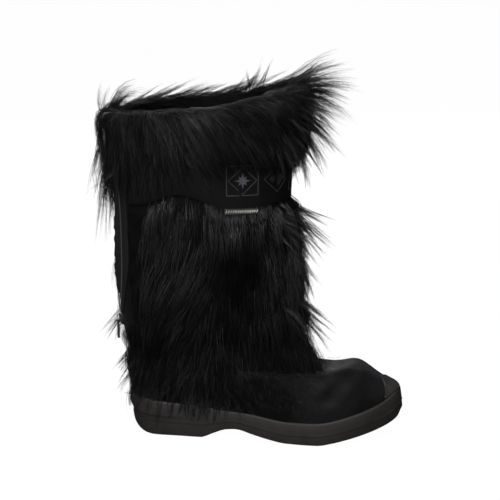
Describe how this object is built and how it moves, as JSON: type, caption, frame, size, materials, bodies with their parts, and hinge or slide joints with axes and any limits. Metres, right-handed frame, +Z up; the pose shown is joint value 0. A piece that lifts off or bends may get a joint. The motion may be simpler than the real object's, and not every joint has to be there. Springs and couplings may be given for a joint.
{
  "type": "fur-trimmed winter boot",
  "caption": "Tall right winter boot with a rubber cup sole, short-haired foot, long-haired shaft, turned-down fur cuff, patterned ribbon band and an open zip at the outer back.",
  "frame": {"origin": "on the floor, at the middle of the heel's flat spot", "axes": "+X to the toe, +Y to the inner side of the right foot, +Z up the shaft"},
  "size_m": [0.3283, 0.1663, 0.3812],
  "materials": {
    "rubber": "matte moulded",
    "hide": "short nap",
    "felt": "matte felt",
    "bumper": "satin moulded",
    "ribbon": "woven satin",
    "plain_metal": "satin",
    "long_hair": "glossy long pile",
    "gusset_cloth": "smooth cloth",
    "zip_tape": "woven tape",
    "piping": "satin cord",
    "zip_metal": "dark satin"
  },
  "bodies": {
    "boot": {"outsole": "rubber", "upper": "hide", "insole": "felt", "toe_bumper": "bumper", "ribbon_band": "ribbon", "trim_bar": "plain_metal", "shaft_pelt": "long_hair", "cuff": "long_hair", "zip_gusset": "gusset_cloth", "zip_row_front": "zip_tape", "zip_row_back": "zip_tape", "cuff_piping_front": "piping", "cuff_piping_back": "piping", "zip_slider": "zip_metal"},
    "pull": {"zip_pull": "zip_metal"}
  },
  "joints": [
    {"name": "zip_pull_hinge", "type": "hinge", "parent": "boot", "child": "pull", "pos_m": [-0.06295, -0.02059, 0.11735], "axis": [-0.4606, 0.8876, 0], "range_deg": [-15, 150]}
  ]
}
